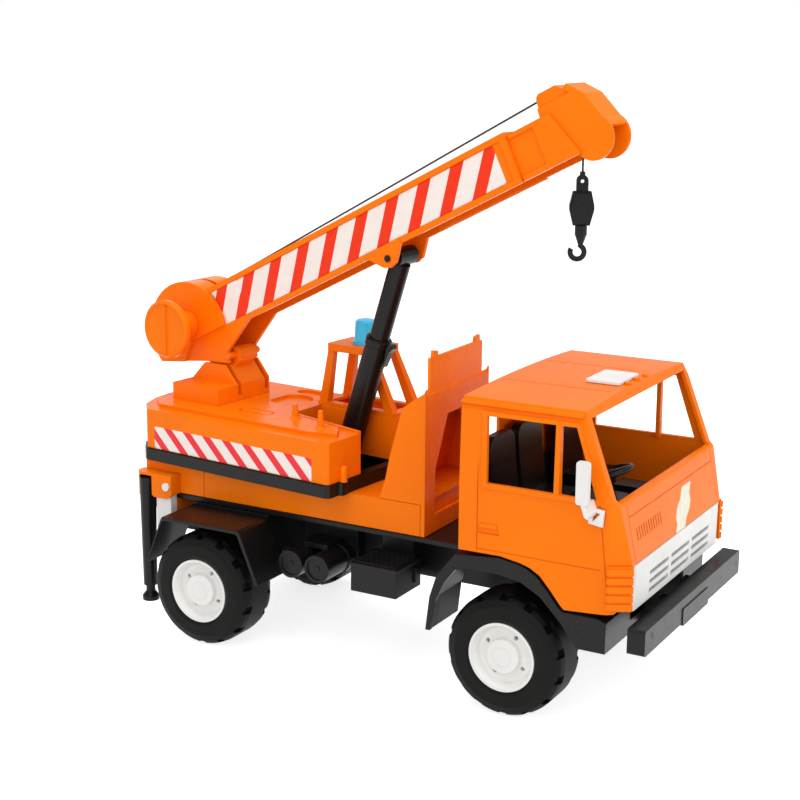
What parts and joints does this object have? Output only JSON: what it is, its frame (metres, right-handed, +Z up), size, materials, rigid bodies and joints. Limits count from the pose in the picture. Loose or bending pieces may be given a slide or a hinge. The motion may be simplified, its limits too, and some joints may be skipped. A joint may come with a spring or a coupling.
{
  "type": "toy crane truck",
  "caption": "Toy lorry with an open bed, slewing crane turntable, telescopic boom on a strut, cord with hook, winch knob and folding outriggers.",
  "frame": {"origin": "middle of the bounding box footprint, on the plane the wheels stand on", "axes": "+X forward out of the cab, +Y to the driver's left, +Z up"},
  "size_m": [0.493, 0.2142, 0.4417],
  "materials": {
    "orange_plastic": "glossy moulded plastic",
    "black_plastic": "satin moulded plastic",
    "white_plastic": "glossy moulded plastic",
    "blue_plastic": "glossy moulded plastic",
    "tyre_rubber": "matt moulded plastic",
    "axle_steel": "drawn rod",
    "cord": "braided cord"
  },
  "bodies": {
    "truck": {"chassis_frame": "black_plastic", "bumper": "black_plastic", "front_axle": "axle_steel", "rear_axle": "axle_steel", "front_arches": "black_plastic", "rear_arches": "black_plastic", "air_tanks": "black_plastic", "battery_boxes": "black_plastic", "cab_shell": "orange_plastic", "roof_hatch": "white_plastic", "roof_lamps": "orange_plastic", "grille": "white_plastic", "corner_deflectors": "orange_plastic", "mirror_right": "white_plastic", "cab_tub": "black_plastic", "seats": "black_plastic", "centre_box": "black_plastic", "steering_wheel": "black_plastic", "bed_body": "orange_plastic", "bulkhead": "orange_plastic", "outrigger_hoods": "orange_plastic", "arm_pins": "white_plastic", "arm_right": "white_plastic", "arm_left": "white_plastic"},
    "wheel_fr": {"tyre_fr": "tyre_rubber", "rim_fr": "white_plastic"},
    "wheel_fl": {"tyre_fl": "tyre_rubber", "rim_fl": "white_plastic"},
    "wheel_rr": {"tyre_rr": "tyre_rubber", "rim_rr": "white_plastic"},
    "wheel_rl": {"tyre_rl": "tyre_rubber", "rim_rl": "white_plastic"},
    "outrigger_jack_right": {"jack_right": "black_plastic"},
    "outrigger_jack_left": {"jack_left": "black_plastic"},
    "turntable": {"skirt": "black_plastic", "housing": "orange_plastic", "operator_cab": "orange_plastic", "beacon": "blue_plastic", "pedestal": "orange_plastic", "strut_foot_pin": "black_plastic", "boom_pin": "black_plastic"},
    "boom": {"boom_outer": "orange_plastic", "strut_top_pin": "black_plastic", "cord_run": "cord"},
    "boom_extension": {"boom_inner": "orange_plastic", "boom_head": "orange_plastic", "guide_roller": "black_plastic"},
    "winch": {"winch_spool": "orange_plastic"},
    "strut_tube": {"strut_lower": "black_plastic", "latch_clip": "black_plastic"},
    "strut_rod": {"strut_upper": "black_plastic"},
    "hook_assembly": {"cord_drop": "cord", "hook_block": "black_plastic", "hook": "black_plastic"}
  },
  "joints": [
    {"name": "wheel_spin_fr", "type": "hinge", "parent": "truck", "child": "wheel_fr", "pos_m": [0.139, -0.07155, 0.045], "axis": [0, 1, 0], "continuous": true},
    {"name": "wheel_spin_fl", "type": "hinge", "parent": "truck", "child": "wheel_fl", "pos_m": [0.139, 0.08445, 0.045], "axis": [0, 1, 0], "continuous": true},
    {"name": "wheel_spin_rr", "type": "hinge", "parent": "truck", "child": "wheel_rr", "pos_m": [-0.125, -0.07155, 0.045], "axis": [0, 1, 0], "continuous": true},
    {"name": "wheel_spin_rl", "type": "hinge", "parent": "truck", "child": "wheel_rl", "pos_m": [-0.125, 0.08445, 0.045], "axis": [0, 1, 0], "continuous": true},
    {"name": "slew", "type": "hinge", "parent": "truck", "child": "turntable", "pos_m": [-0.116, 0.00645, 0.13], "axis": [0, 0, 1], "continuous": true},
    {"name": "boom_lift", "type": "hinge", "parent": "turntable", "child": "boom", "pos_m": [-0.16046, 0.02327, 0.2125], "axis": [-0.1063, -0.9943, 0], "range_deg": [-11, 14]},
    {"name": "boom_extend", "type": "slide", "parent": "boom", "child": "boom_extension", "axis": [0.8914, -0.0953, 0.4431], "range_m": [0, 0.09], "deforming": ["cord_run"]},
    {"name": "hook_lower", "type": "slide", "parent": "boom_extension", "child": "hook_assembly", "axis": [0, 0, -1], "range_m": [-0.008, 0.045], "deforming": ["cord_drop"]},
    {"name": "winch_turn", "type": "hinge", "parent": "boom", "child": "winch", "pos_m": [-0.20221, 0.02773, 0.23447], "axis": [0.1063, 0.9943, 0], "continuous": true},
    {"name": "strut_tilt", "type": "hinge", "parent": "turntable", "child": "strut_tube", "pos_m": [-0.04939, 0.0114, 0.149], "axis": [-0.1063, -0.9943, 0], "range_deg": [-9.51, 12.05]},
    {"name": "strut_slide", "type": "slide", "parent": "strut_tube", "child": "strut_rod", "axis": [0.3067, -0.0328, 0.9512], "range_m": [-0.02467, 0.0314]},
    {"name": "jack_lower_right", "type": "slide", "parent": "truck", "child": "outrigger_jack_right", "axis": [0, 0, -1], "range_m": [0, 0.0115]},
    {"name": "jack_lower_left", "type": "slide", "parent": "truck", "child": "outrigger_jack_left", "axis": [0, 0, -1], "range_m": [0, 0.0115]}
  ],
  "couplings": [
    {"joint": "strut_tilt", "follows": "boom_lift", "ratio": 0.83},
    {"joint": "strut_slide", "follows": "boom_lift", "m_per_rad": 0.126}
  ]
}
